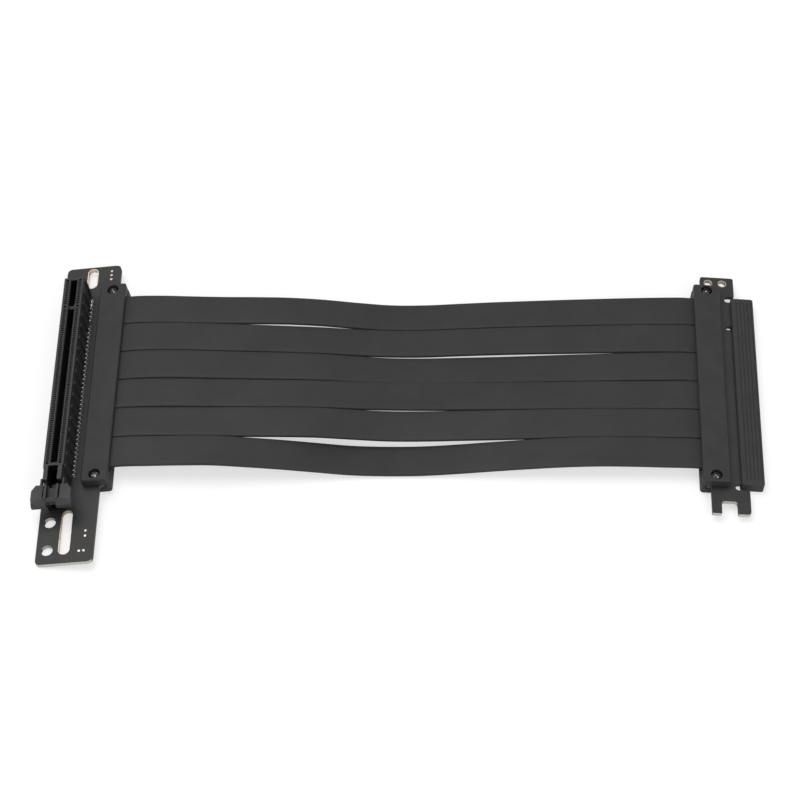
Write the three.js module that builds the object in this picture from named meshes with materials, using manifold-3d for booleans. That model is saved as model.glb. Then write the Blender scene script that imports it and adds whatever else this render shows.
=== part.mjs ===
// A graphics card riser: a card slot on a small board, an edge plug, and six flat ribbons between.
// Millimetres, +Z up. +X runs along the ribbons from the card slot to the plug.
// The origin is on the floor, under the middle of the rigid parts.

import * as THREE from 'three';
import { mergeVertices } from 'three/addons/utils/BufferGeometryUtils.js';
import Module from 'manifold-3d';

const wasm = await Module();
wasm.setup();

// Clearances
const seatGap = 0.3;
const cutPast = 1.0;

// Edge connector pattern, shared by the card slot and the plug's tongue
const contactCount = 82;
const contactsBeforeKey = 11;
const contactPitch = 1.0;
const keyStep = 3.0;
const tongueMargin = 1.0;
const keyNotchWidth = 1.8;
const boardThickness = 1.6;

// Card slot
const slotWidth = 7.5;
const slotHeight = 11.25;
const slotEndWall = 1.2;
const grooveWidth = 2.3;
const grooveDepth = 8.4;
const grooveBevel = 0.35;
const cellWidth = 1.15;
const cellLength = 0.6;
const cellDepth = 1.6;
const cellCentre = 2.4;
const endCellSize = 0.95;
const keyBarWidth = 1.5;
const keyBarDrop = 1.0;
const sideRibPitch = 5.4;
const sideRibWidth = 1.3;
const sideRibProud = 0.45;
const sideRibTopDrop = 1.6;
const footLength = 0.8;
const footWidth = 0.44;
const footHeight = 0.3;
const pegRadius = 1.15;

// Latch tower and latch at the near end of the card slot
const cheekInner = 1.85;
const cheekThickness = 1.55;
const cheekTallLength = 6.3;
const cheekLowLength = 6.0;
const cheekLowHeight = 5.2;
const cheekStepHeight = 7.2;
const towerFloorHeight = 0.9;
const pivotSetback = 8.9;
const pivotHeight = 3.4;
const bossRadius = 1.05;
const latchStemBack = 1.7;
const latchStemFront = 2.9;
const latchStemFoot = 1.7;
const noseLength = 3.4;
const noseThickness = 1.6;
const thumbWidth = 15.0;
const thumbBack = 0.6;
const thumbLength = 9.4;
const thumbTop = 10.6;
const thumbThickness = 3.0;
const thumbSlope = 2.3;
const thumbRailWidth = 2.3;
const thumbRailRise = 0.65;
const thumbRailLength = 6.2;
const thumbChamfer = 1.4;
const thumbGripDepth = 0.3;

// Socket board
const socketBoardLeft = 6.6;
const socketBoardRight = 14.6;
const socketBoardFar = 57.6;
const socketBoardNear = 79.5;
const boardCorner = 2.2;
const mountSlotOffset = 3.7;
const mountSlotWidth = 4.1;
const nearSlotStart = 56.6;
const nearSlotLength = 19.0;
const farSlotWidth = 3.6;
const farSlotLength = 9.0;
const farSlotCentre = 52.0;
const roundHoleRadius = 2.25;
const roundHoleOffset = 2.6;
const roundHoleFirst = 61.4;
const roundHoleSpacing = 12.1;

// Clamp covers, the same pair at both ends of the cable
const coverWidth = 10.0;
const coverLength = 92.0;
const coverHeight = 3.9;
const coverCorner = 1.1;
const coverBevel = 0.4;
const coverWall = 1.2;
const coverRoof = 1.2;
const cavityEnd = 40.3;
const mouthHalf = 41.1;
const baseThickness = 2.2;
const lipReach = 1.5;
const lipInset = 8.5;
const earThickness = 1.2;
const earHeight = 1.9;
const screwInset = 5.0;
const screwHalfSpacing = 43.1;
const recessRadius = 2.2;
const recessDepth = 2.2;
const headRadius = 1.85;
const headHeight = 1.25;
const shankRadius = 1.1;
const screwHoleFloor = 0.4;
const screwPoint = 0.9;
const screwSides = 14;
const crossLength = 2.3;
const crossWidth = 0.55;
const crossDepth = 0.7;
const endNotchWidth = 1.7;
const endNotchDepth = 1.5;
const endNotchHeight = 1.5;
const boardReach = 8.2;
const boardStepInset = 0.3;

// Ribbons and their wire ends
const ribbonCount = 6;
const ribbonWidth = 13.1;
const ribbonPitch = 13.3;
const ribbonThickness = 1.5;
const ribbonEdge = 0.45;
const ribbonShift = 1.0;
const wiresPerRibbon = 6;
const wireWidth = 1.2;
const wirePitch = 1.95;
const wireHeight = 0.9;
const wireLength = 4.4;
const wireBarLength = 0.9;

// Plug board, tongue and dust cap, measured from the tab's cable side
const tabFarWidth = 12.7;
const tabNearWidth = 14.2;
const tabFar = 54.4;
const tabNear = 56.0;
const tabCorner = 0.9;
const tongueTip = 18.5;
const reliefRoot = 8.9;
const reliefWidth = 2.8;
const tipBevel = 0.5;
const forkLeft = 3.5;
const forkRight = 9.45;
const forkDepth = 5.5;
const forkCorner = 1.5;
const tabHoleRadius = 1.4;
const tabHoleFirst = 3.0;
const tabHoleSpacing = 5.4;
const tabHoleInset = 2.9;
const capLeft = 11.0;
const capWall = 0.8;
const capThickness = 4.8;
const capCorner = 0.9;
const capBevel = 0.45;
const capGrooveCount = 5;
const capGroovePitch = 1.4;
const capGrooveWidth = 0.5;
const capGrooveDepth = 0.35;
const capGrooveFirst = 1.9;
const capGrooveEnd = 2.2;

// Places
const socketClampOffset = 8.3;
const socketClampShift = -0.6;
const plugClampOffset = 6.6;
const plugClampShift = 1.65;
const cableSpan = 237.1;
const plugShift = 2.2;

// Lengths that follow from the sizes above
const contactSpan = (contactCount - 2) * contactPitch + keyStep;
const keyPlace = contactSpan / 2 - (contactsBeforeKey - 1) * contactPitch - keyStep / 2;
const tongueHalf = contactSpan / 2 + tongueMargin;
const grooveHalf = tongueHalf + 0.2;
const slotHalf = grooveHalf + slotEndWall;
const slotTop = slotHeight;
const grooveFloor = slotTop - grooveDepth;
const pivotPlace = -(slotHalf + pivotSetback);
const towerEnd = -(slotHalf + cheekTallLength + cheekLowLength);
const coverTop = coverHeight;
const baseTop = -(boardThickness + seatGap);
const baseBottom = baseTop - baseThickness;
const screwTip = baseBottom + screwHoleFloor + seatGap;
const ribbonLift = seatGap + ribbonThickness / 2;
const ribbonStart = boardReach + 0.1;
const capRight = tongueTip + seatGap + capWall;
const capMiddle = -boardThickness / 2;
const capBottom = capMiddle - capThickness / 2;
const capHalf = tongueHalf + seatGap + capWall;

// Each end leans on the edges that touch the floor: its bottom cover and its board or dust cap
const socketTilt = Math.atan2(-boardThickness - baseBottom, socketClampOffset + socketBoardLeft);
const socketRise = socketBoardLeft * Math.sin(socketTilt) + boardThickness * Math.cos(socketTilt);
const plugTilt = Math.atan2(capBottom - baseBottom, capRight - plugClampOffset);
const plugRise = plugClampOffset * Math.sin(plugTilt) - baseBottom * Math.cos(plugTilt);
const leftReach = thumbWidth / 2 * Math.cos(socketTilt) + thumbTop * Math.sin(socketTilt);
const rightReach = capRight * Math.cos(plugTilt);
const socketX = -(cableSpan + rightReach - leftReach) / 2;
const plugX = socketX + cableSpan;
const socketY = (socketBoardNear - socketBoardFar) / 2;
const plugY = socketY + plugShift;

// Colours from the photographed object
const finishes = {
  board: { color: 0x2b2b2c, roughness: 0.55, metalness: 0.0 },
  slot: { color: 0x262626, roughness: 0.5, metalness: 0.0 },
  latch: { color: 0x303031, roughness: 0.5, metalness: 0.0 },
  cover: { color: 0x303031, roughness: 0.6, metalness: 0.0 },
  cap: { color: 0x2e2e2f, roughness: 0.65, metalness: 0.0 },
  ribbon: { color: 0x333334, roughness: 0.6, metalness: 0.0 },
  wire: { color: 0xb9b2a4, roughness: 0.4, metalness: 1.0 },
  screw: { color: 0x1c1c1d, roughness: 0.4, metalness: 0.6 },
};

// Solids
function solid(geometry) {
  geometry.deleteAttribute('normal');
  geometry.deleteAttribute('uv');
  const merged = mergeVertices(geometry, 1e-4);
  return new wasm.Manifold(new wasm.Mesh({
    numProp: 3,
    vertProperties: Float32Array.from(merged.attributes.position.array),
    triVerts: Uint32Array.from(merged.index.array),
  }));
}

function block(x0, x1, y0, y1, z0, z1) {
  const geometry = new THREE.BoxGeometry(x1 - x0, y1 - y0, z1 - z0);
  geometry.translate((x0 + x1) / 2, (y0 + y1) / 2, (z0 + z1) / 2);
  return solid(geometry);
}

function rod(radius, x, y, z0, z1, sides = 18) {
  const geometry = new THREE.CylinderGeometry(radius, radius, z1 - z0, sides);
  geometry.rotateX(Math.PI / 2);
  geometry.translate(x, y, (z0 + z1) / 2);
  return solid(geometry);
}

function joined(pieces) {
  return pieces.reduce((whole, piece) => whole.add(piece));
}

// An outline through corners given as [x, y, radius], each rounded by its radius
function outline(corners) {
  const shape = new THREE.Shape();
  corners.forEach(([x, y, radius = 0], index) => {
    const corner = new THREE.Vector2(x, y);
    const before = new THREE.Vector2(...corners.at(index - 1)).sub(corner).normalize();
    const after = new THREE.Vector2(...corners[(index + 1) % corners.length]).sub(corner).normalize();
    const halfAngle = Math.acos(THREE.MathUtils.clamp(before.dot(after), -1, 1)) / 2;
    const run = radius / Math.tan(halfAngle);
    const start = corner.clone().addScaledVector(before, run);
    const end = corner.clone().addScaledVector(after, run);
    if (index === 0) shape.moveTo(start.x, start.y);
    else shape.lineTo(start.x, start.y);
    if (radius > 0) shape.quadraticCurveTo(x, y, end.x, end.y);
  });
  shape.closePath();
  return shape;
}

function rectangle(x0, x1, y0, y1, radius = 0) {
  return outline([[x0, y0, radius], [x1, y0, radius], [x1, y1, radius], [x0, y1, radius]]);
}

function roundHole(x, y, radius) {
  return new THREE.Path().absarc(x, y, radius, 0, 2 * Math.PI, true);
}

// A round-ended hole that runs along y
function longHole(x, y0, y1, width) {
  const radius = width / 2;
  const path = new THREE.Path();
  path.absarc(x, y1 - radius, radius, 0, Math.PI, false);
  path.absarc(x, y0 + radius, radius, Math.PI, 2 * Math.PI, false);
  path.closePath();
  return path;
}

function plate(shape, z0, z1, curveSegments = 5) {
  const geometry = new THREE.ExtrudeGeometry(shape, { depth: z1 - z0, bevelEnabled: false, curveSegments });
  geometry.translate(0, 0, z0);
  return solid(geometry);
}

// A plate whose upper edge is bevelled all round, and its lower edge too where asked
function bevelledPlate(x0, x1, y0, y1, z0, z1, corner, bevel, bothSides) {
  const shape = rectangle(x0 + bevel, x1 - bevel, y0 + bevel, y1 - bevel, corner - bevel);
  const lower = bothSides ? z0 + bevel : z0 - bevel;
  const geometry = new THREE.ExtrudeGeometry(shape, {
    depth: z1 - bevel - lower,
    bevelEnabled: true,
    bevelThickness: bevel,
    bevelSize: bevel,
    bevelSegments: 1,
    curveSegments: 3,
  });
  geometry.translate(0, 0, lower);
  const whole = solid(geometry);
  const below = block(x0 - cutPast, x1 + cutPast, y0 - cutPast, y1 + cutPast, z0 - 2 * cutPast, z0);
  return bothSides ? whole : whole.subtract(below);
}

// A profile drawn in (y, z), extruded along x
function acrossProfile(shape, x0, x1, curveSegments = 8) {
  const geometry = new THREE.ExtrudeGeometry(shape, { depth: x1 - x0, bevelEnabled: false, curveSegments });
  geometry.translate(0, 0, x0);
  geometry.applyMatrix4(new THREE.Matrix4().set(0, 0, 1, 0, 1, 0, 0, 0, 0, 1, 0, 0, 0, 0, 0, 1));
  return solid(geometry);
}

// A profile drawn in (x, z), extruded along y
function alongProfile(shape, y0, y1) {
  const geometry = new THREE.ExtrudeGeometry(shape, { depth: y1 - y0, bevelEnabled: false });
  geometry.translate(0, 0, -y1);
  geometry.applyMatrix4(new THREE.Matrix4().set(1, 0, 0, 0, 0, 0, -1, 0, 0, 1, 0, 0, 0, 0, 0, 1));
  return solid(geometry);
}

function named(name, body, finish) {
  const { vertProperties, triVerts } = body.getMesh();
  const geometry = new THREE.BufferGeometry();
  geometry.setAttribute('position', new THREE.BufferAttribute(Float32Array.from(vertProperties), 3));
  geometry.setIndex(Array.from(triVerts));
  geometry.computeVertexNormals();
  const mesh = new THREE.Mesh(geometry, new THREE.MeshStandardMaterial(finishes[finish]));
  mesh.name = name;
  return mesh;
}

// Places of the contacts along the slot, from the far end to the near end
function contactPlaces() {
  return Array.from({ length: contactCount }, (_, index) => {
    const pastKey = index >= contactsBeforeKey ? keyStep - contactPitch : 0;
    return contactSpan / 2 - index * contactPitch - pastKey;
  });
}

// Socket end
function socketBoard() {
  const wide = socketClampOffset + boardReach;
  const step = coverLength / 2 - boardStepInset;
  const stepFar = socketClampShift + step;
  const stepNear = socketClampShift - step;
  const shape = outline([
    [-socketBoardLeft, -socketBoardNear, boardCorner],
    [socketBoardRight, -socketBoardNear, boardCorner],
    [socketBoardRight, stepNear, coverCorner],
    [wide, stepNear, 0],
    [wide, stepFar, 0],
    [socketBoardRight, stepFar, coverCorner],
    [socketBoardRight, socketBoardFar, boardCorner],
    [-socketBoardLeft, socketBoardFar, boardCorner],
  ]);
  const nearSlotEnd = nearSlotStart + nearSlotLength;
  shape.holes.push(longHole(mountSlotOffset, -nearSlotEnd, -nearSlotStart, mountSlotWidth));
  const farStart = farSlotCentre - farSlotLength / 2;
  shape.holes.push(longHole(mountSlotOffset, farStart, farStart + farSlotLength, farSlotWidth));
  for (const place of [roundHoleFirst, roundHoleFirst + roundHoleSpacing]) {
    shape.holes.push(roundHole(-roundHoleOffset, -place, roundHoleRadius));
  }
  for (const place of [keyPlace, -grooveHalf]) {
    shape.holes.push(roundHole(0, place, pegRadius + seatGap));
  }
  for (const side of [-1, 1]) {
    const x = socketClampOffset + screwInset;
    shape.holes.push(roundHole(x, socketClampShift + side * screwHalfSpacing, shankRadius + seatGap));
  }
  return named('socket_board', plate(shape, -boardThickness, 0, 6), 'board');
}

function grooveCutter(y0, y1) {
  const half = grooveWidth / 2;
  const shape = outline([
    [-half, grooveFloor],
    [half, grooveFloor],
    [half, slotTop - grooveBevel],
    [half + grooveBevel, slotTop],
    [half + grooveBevel, slotTop + cutPast],
    [-half - grooveBevel, slotTop + cutPast],
    [-half - grooveBevel, slotTop],
    [-half, slotTop - grooveBevel],
  ]);
  return alongProfile(shape, y0, y1);
}

// The ladder of contact cells: one pocket for each contact, and larger pockets at the ends and key
function cellCutters() {
  const cutters = [];
  const pocket = (side, place, width, length) => {
    const centre = side * cellCentre;
    const z0 = slotTop - cellDepth;
    const z1 = slotTop + cutPast;
    return block(centre - width / 2, centre + width / 2, place - length / 2, place + length / 2, z0, z1);
  };
  const endPlace = contactSpan / 2 + (endCellSize + contactPitch) / 2 + seatGap / 2;
  for (const side of [-1, 1]) {
    for (const place of contactPlaces()) cutters.push(pocket(side, place, cellWidth, cellLength));
    for (const place of [endPlace, keyPlace, -endPlace]) {
      cutters.push(pocket(side, place, endCellSize, endCellSize));
    }
  }
  return joined(cutters);
}

function sideRibs() {
  const ribs = [];
  const count = Math.floor((2 * slotHalf - sideRibWidth) / sideRibPitch) + 1;
  const first = -((count - 1) * sideRibPitch) / 2;
  const outer = slotWidth / 2 + sideRibProud;
  for (let index = 0; index < count; index += 1) {
    const place = first + index * sideRibPitch;
    const y0 = place - sideRibWidth / 2;
    ribs.push(block(-outer, outer, y0, y0 + sideRibWidth, 3 * seatGap, slotTop - sideRibTopDrop));
  }
  return joined(ribs);
}

// Every second contact ends in an outer soldered foot
function solderFeet() {
  const reach = slotWidth / 2 + footLength;
  return joined(contactPlaces().filter((_, index) => index % 2 === 0).map((place) => (
    block(-reach, reach, place - footWidth / 2, place + footWidth / 2, seatGap, seatGap + footHeight)
  )));
}

function latchCheek(side) {
  const tallEnd = -(slotHalf + cheekTallLength);
  const start = -slotHalf + slotEndWall / 2;
  const shape = outline([
    [start, seatGap],
    [start, slotTop],
    [tallEnd, slotTop, 0.8],
    [tallEnd, cheekStepHeight],
    [towerEnd, cheekLowHeight, 0.8],
    [towerEnd, seatGap],
  ]);
  shape.holes.push(roundHole(pivotPlace, pivotHeight, bossRadius + seatGap));
  const inner = side * cheekInner;
  const outer = side * (cheekInner + cheekThickness);
  return acrossProfile(shape, Math.min(inner, outer), Math.max(inner, outer), 14);
}

function slotHousing() {
  const half = slotWidth / 2;
  const body = block(-half, half, -slotHalf, slotHalf, seatGap, slotTop);
  const towerHalf = cheekInner + cheekThickness;
  const towerFloor = block(-towerHalf, towerHalf, towerEnd, -slotHalf + 0.5, seatGap, seatGap + towerFloorHeight);
  const pegs = [keyPlace, -grooveHalf].map((place) => (
    rod(pegRadius, 0, place, -boardThickness - seatGap, 2 * seatGap, 14)
  ));
  const whole = joined([body, sideRibs(), solderFeet(), towerFloor, latchCheek(-1), latchCheek(1), ...pegs]);
  const keyHalf = keyBarWidth / 2;
  const keyTop = block(-grooveWidth / 2, grooveWidth / 2, keyPlace - keyBarWidth, keyPlace + keyBarWidth,
    slotTop - keyBarDrop, slotTop + cutPast);
  const cuts = joined([
    grooveCutter(-grooveHalf, keyPlace - keyHalf),
    grooveCutter(keyPlace + keyHalf, grooveHalf),
    keyTop,
    cellCutters(),
  ]);
  return named('slot_housing', whole.subtract(cuts), 'slot');
}

// The latch turns on two bosses in the cheeks; its nose holds the card and its thumb tab frees it
function slotLatch() {
  const bodyHalf = cheekInner - seatGap;
  const thumbStart = -(slotHalf + cheekTallLength + seatGap + thumbBack);
  const thumbEnd = thumbStart - thumbLength;
  const thumbFloor = thumbTop - thumbThickness;
  const stemTop = thumbFloor + seatGap;
  const stemBack = pivotPlace + latchStemBack;
  const stemFront = pivotPlace - latchStemFront;
  const noseTop = thumbFloor;
  const noseTip = stemBack + noseLength;
  const stem = acrossProfile(outline([
    [stemBack, latchStemFoot, 1.2],
    [stemBack, noseTop - noseThickness],
    [noseTip, noseTop - noseThickness + 0.5, 0.4],
    [noseTip, noseTop, 0.4],
    [stemBack, stemTop],
    [stemFront, stemTop],
    [stemFront, latchStemFoot + 1.4, 0.8],
    [pivotPlace, latchStemFoot - 0.2],
  ]), -bodyHalf, bodyHalf, 4);
  const thumbProfile = acrossProfile(outline([
    [thumbStart, thumbFloor],
    [thumbStart, thumbTop],
    [thumbEnd + 3.4, thumbTop, 0.8],
    [thumbEnd, thumbTop - thumbSlope, 0.5],
    [thumbEnd, thumbFloor - 0.6],
    [thumbEnd + 3.2, thumbFloor],
  ]), -thumbWidth / 2, thumbWidth / 2, 3);
  const side = thumbWidth / 2;
  const plan = plate(outline([
    [-side, thumbEnd],
    [side, thumbEnd],
    [side, thumbStart - 1.6 * thumbChamfer],
    [side - thumbChamfer, thumbStart],
    [-side + thumbChamfer, thumbStart],
    [-side, thumbStart - 1.6 * thumbChamfer],
  ]), thumbFloor - 2, thumbTop + 2);
  const rails = [-1, 1].map((sign) => {
    const inner = sign * bodyHalf;
    const outer = sign * (bodyHalf + thumbRailWidth);
    return block(Math.min(inner, outer), Math.max(inner, outer), thumbStart - thumbRailLength, thumbStart,
      thumbFloor, thumbTop + thumbRailRise);
  });
  const gripGrooves = [0.9, 2.0].map((back) => (
    block(-side - 1, side + 1, thumbEnd + back, thumbEnd + back + 0.35,
      thumbTop - thumbSlope + back * (thumbSlope / 3.4) - thumbGripDepth, thumbTop + 1)
  ));
  const channel = block(-bodyHalf, bodyHalf, thumbStart - 5.2, thumbStart + 1, stemTop, thumbTop + 2);
  const bosses = acrossProfile(new THREE.Shape().absarc(pivotPlace, pivotHeight, bossRadius, 0, 2 * Math.PI),
    -(cheekInner + cheekThickness - seatGap), cheekInner + cheekThickness - seatGap, 14);
  const thumb = joined([thumbProfile.intersect(plan), ...rails]).subtract(joined([channel, ...gripGrooves]));
  return named('slot_latch', joined([thumb, stem, bosses]), 'latch');
}

// Clamp covers, in a frame whose x runs from the board side to the cable
function topCover(name) {
  const half = coverLength / 2;
  const shell = bevelledPlate(0, coverWidth, -half, half, seatGap, coverTop, coverCorner, coverBevel, false);
  const cuts = [
    block(coverWall, coverWidth - coverWall, -cavityEnd, cavityEnd, -cutPast, coverTop - coverRoof),
    block(coverWidth - 2 * coverWall, coverWidth + cutPast, -mouthHalf, mouthHalf, -cutPast,
      ribbonLift + ribbonThickness / 2 + seatGap),
  ];
  for (const side of [-1, 1]) {
    const y = side * screwHalfSpacing;
    cuts.push(rod(recessRadius, screwInset, y, coverTop - recessDepth, coverTop + cutPast, 20));
    cuts.push(rod(shankRadius + seatGap, screwInset, y, -cutPast, coverTop, 14));
  }
  return named(name, shell.subtract(joined(cuts)), 'cover');
}

function bottomCover(name) {
  const half = coverLength / 2;
  const outer = coverWidth + lipReach;
  const base = plate(rectangle(0, outer, -half, half, coverCorner), baseBottom, baseTop, 3);
  const lip = plate(outline([
    [lipInset, -half, 0],
    [outer, -half, coverCorner],
    [outer, half, coverCorner],
    [lipInset, half, 0],
  ]), baseTop - 0.1, 0, 3);
  const ears = [-1, 1].map((side) => {
    const y0 = Math.min(side * half, side * (mouthHalf + seatGap));
    const y1 = Math.max(side * half, side * (mouthHalf + seatGap));
    const rough = block(outer - earThickness, outer, y0, y1, -0.1, earHeight);
    const profile = acrossProfile(outline([
      [-half, -0.2, 0],
      [half, -0.2, 0],
      [half, earHeight, 0.9],
      [-half, earHeight, 0.9],
    ]), outer - earThickness - 1, outer + 1, 3);
    const plan = plate(rectangle(0, outer, -half, half, coverCorner), -1, earHeight + 1, 3);
    return rough.intersect(profile).intersect(plan);
  });
  const cuts = [];
  for (const side of [-1, 1]) {
    const y = side * screwHalfSpacing;
    cuts.push(rod(shankRadius + seatGap, screwInset, y, baseBottom + screwHoleFloor, baseTop + cutPast, 14));
    const notchStart = side * (half - endNotchDepth);
    const notchEnd = side * (half + cutPast);
    const notchTop = baseTop + cutPast;
    cuts.push(block(boardReach - endNotchWidth, boardReach, Math.min(notchStart, notchEnd),
      Math.max(notchStart, notchEnd), baseTop - endNotchHeight, notchTop));
  }
  return named(name, joined([base, lip, ...ears]).subtract(joined(cuts)), 'cover');
}

function clampScrew(name, side) {
  const seat = coverTop - recessDepth + seatGap;
  const profile = [
    [0, screwTip],
    [shankRadius * 0.6, screwTip],
    [shankRadius, screwTip + screwPoint],
    [shankRadius, seat],
    [headRadius, seat],
    [headRadius, seat + headHeight * 0.7],
    [headRadius * 0.8, seat + headHeight],
    [0, seat + headHeight],
  ].map(([radius, height]) => new THREE.Vector2(radius, height));
  const geometry = new THREE.LatheGeometry(profile, screwSides);
  geometry.rotateX(Math.PI / 2);
  geometry.translate(screwInset, side * screwHalfSpacing, 0);
  const top = seat + headHeight;
  const arm = (length, width) => block(
    screwInset - length / 2, screwInset + length / 2,
    side * screwHalfSpacing - width / 2, side * screwHalfSpacing + width / 2,
    top - crossDepth, top + cutPast,
  );
  const cross = arm(crossLength, crossWidth).add(arm(crossWidth, crossLength));
  return named(name, solid(geometry).subtract(cross), 'screw');
}

// The stripped wires of one ribbon, soldered side by side on the board
function wireEnds(name, place) {
  const barStart = ribbonStart - seatGap - wireBarLength;
  const barHalf = ((wiresPerRibbon - 1) * wirePitch + wireWidth) / 2;
  const bar = block(barStart, barStart + wireBarLength, place - barHalf, place + barHalf,
    seatGap, seatGap + wireHeight);
  const wires = Array.from({ length: wiresPerRibbon }, (_, index) => {
    const y0 = place - barHalf + index * wirePitch;
    return block(barStart - wireLength, barStart + 0.1, y0, y0 + wireWidth, seatGap, seatGap + wireHeight * 0.8);
  });
  return named(name, joined([bar, ...wires]), 'wire');
}

// One clamp: covers, screws and the six wire ends, which sit towards the cable's middle line
function clamp(prefix, ribbonSide) {
  const group = new THREE.Group();
  group.add(topCover(`${prefix}_top_cover`));
  group.add(bottomCover(`${prefix}_bottom_cover`));
  group.add(clampScrew(`${prefix}_screw_far`, ribbonSide));
  group.add(clampScrew(`${prefix}_screw_near`, -ribbonSide));
  for (let index = 0; index < ribbonCount; index += 1) {
    const place = ribbonSide * (ribbonShift + ribbonOffset(index));
    group.add(wireEnds(`${prefix}_wire_ends_${index + 1}`, place));
  }
  return group;
}

function ribbonOffset(index) {
  return ((ribbonCount - 1) / 2 - index) * ribbonPitch;
}

// Plug end
function plugBoard() {
  const wide = plugClampOffset - boardReach;
  const step = coverLength / 2 - boardStepInset;
  const relief = reliefWidth / 2 - 0.02;
  const reliefEnd = tongueHalf + reliefWidth;
  const keyHalf = keyNotchWidth / 2;
  const keyRound = keyHalf - 0.02;
  const shape = outline([
    [0, -tabNear, 0.5],
    [forkLeft, -tabNear, 0.4],
    [forkLeft, -tabNear + forkDepth, forkCorner],
    [forkRight, -tabNear + forkDepth, forkCorner],
    [forkRight, -tabNear, 0.4],
    [tabNearWidth, -tabNear, 1.6],
    [tabNearWidth, -reliefEnd, tabCorner],
    [reliefRoot, -reliefEnd, relief],
    [reliefRoot, -tongueHalf, relief],
    [tongueTip, -tongueHalf, 0.6],
    [tongueTip, keyPlace - keyHalf, 0],
    [reliefRoot, keyPlace - keyHalf, keyRound],
    [reliefRoot, keyPlace + keyHalf, keyRound],
    [tongueTip, keyPlace + keyHalf, 0],
    [tongueTip, tongueHalf, 0.6],
    [reliefRoot, tongueHalf, relief],
    [reliefRoot, reliefEnd, relief],
    [tabFarWidth, reliefEnd, 0.5],
    [tabFarWidth, tabFar, tabCorner],
    [0, tabFar, tabCorner],
    [0, plugClampShift + step, 0.6],
    [wide, plugClampShift + step, 0],
    [wide, plugClampShift - step, 0],
    [0, plugClampShift - step, 0.6],
  ]);
  for (const x of [tabHoleFirst, tabHoleFirst + tabHoleSpacing]) {
    shape.holes.push(roundHole(x, tabFar - tabHoleInset, tabHoleRadius));
  }
  for (const side of [-1, 1]) {
    const y = plugClampShift + side * screwHalfSpacing;
    shape.holes.push(roundHole(plugClampOffset - screwInset, y, shankRadius + seatGap));
  }
  const tipCut = alongProfile(outline([
    [tongueTip - 2.4 * tipBevel, 0],
    [tongueTip + cutPast, -tipBevel * 1.4],
    [tongueTip + cutPast, cutPast],
    [tongueTip - 2.4 * tipBevel, cutPast],
  ]), -tongueHalf - cutPast, tongueHalf + cutPast);
  const tipCutBelow = alongProfile(outline([
    [tongueTip - 2.4 * tipBevel, -boardThickness - cutPast],
    [tongueTip + cutPast, -boardThickness - cutPast],
    [tongueTip + cutPast, -boardThickness + tipBevel * 1.4],
    [tongueTip - 2.4 * tipBevel, -boardThickness],
  ]), -tongueHalf - cutPast, tongueHalf + cutPast);
  const body = plate(shape, -boardThickness, 0, 5).subtract(tipCut).subtract(tipCutBelow);
  return named('plug_board', body, 'board');
}

// The dust cap is a ribbed sleeve, open towards the cable, that slides off the tongue
function dustCap() {
  const top = capMiddle + capThickness / 2;
  const shell = bevelledPlate(capLeft, capRight, -capHalf, capHalf, capBottom, top, capCorner, capBevel, true);
  const cavityHalf = tongueHalf + seatGap;
  const cuts = [
    block(capLeft - cutPast, capRight - capWall, -cavityHalf, cavityHalf, -boardThickness - seatGap, seatGap),
  ];
  for (let index = 0; index < capGrooveCount; index += 1) {
    const x0 = capLeft + capGrooveFirst + index * capGroovePitch;
    const y = capHalf - capGrooveEnd;
    cuts.push(block(x0, x0 + capGrooveWidth, -y, y, top - capGrooveDepth, top + cutPast));
    cuts.push(block(x0, x0 + capGrooveWidth, -y, y, capBottom - cutPast, capBottom + capGrooveDepth));
  }
  return named('plug_dust_cap', shell.subtract(joined(cuts)), 'cap');
}

// Ribbon routes: the stations along x and the height of each ribbon's middle at every station
const ribbonStations = [-107.5, -101.6, -92, -81, -69, -57, -44, -31, -18, -5, 8, 21, 34, 47, 60, 73, 86, 97,
  105.7, 111.5];
const ribbonHeights = [
  [6.5, 7.5, 7.9, 7.7, 7.5, 7.5, 7.2, 6.0, 4.0, 2.3, 2.1, 2.8, 3.5, 4.0, 4.5, 5.0, 5.5, 5.9, 6.1, 5.7],
  [6.5, 7.5, 8.2, 8.2, 7.8, 7.3, 6.6, 5.7, 4.4, 3.4, 3.2, 3.8, 4.3, 4.7, 5.0, 5.4, 5.8, 6.1, 6.1, 5.7],
  [6.5, 7.5, 8.4, 8.5, 8.1, 7.7, 7.3, 6.5, 5.0, 3.6, 3.2, 3.4, 3.6, 4.0, 4.5, 5.0, 5.6, 6.0, 6.1, 5.7],
  [6.5, 7.5, 8.2, 8.4, 8.2, 8.0, 7.8, 7.3, 6.4, 5.6, 5.2, 5.1, 5.1, 5.1, 5.3, 5.4, 5.6, 5.8, 6.1, 5.7],
  [6.5, 7.5, 8.0, 8.2, 8.2, 8.2, 8.1, 7.6, 6.2, 4.9, 4.6, 4.8, 5.0, 5.3, 5.7, 6.0, 6.0, 6.0, 6.1, 5.7],
  [6.5, 7.5, 8.1, 8.6, 8.7, 7.6, 6.0, 4.0, 2.0, 1.2, 1.2, 2.2, 3.6, 4.9, 6.0, 6.6, 6.5, 6.2, 6.1, 5.7],
];
const ribbonLeans = [1.2, 1.0, 1.3, 1.0, -0.5, 0.3];
const ribbonSteps = 30;

function ribbonMiddle(index, x) {
  const share = THREE.MathUtils.smoothstep(x, ribbonStations[1], ribbonStations.at(-2));
  const start = socketY + socketClampShift + ribbonShift;
  const end = plugY + plugClampShift + ribbonShift;
  return THREE.MathUtils.lerp(start, end, share) + ribbonOffset(index);
}

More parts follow.
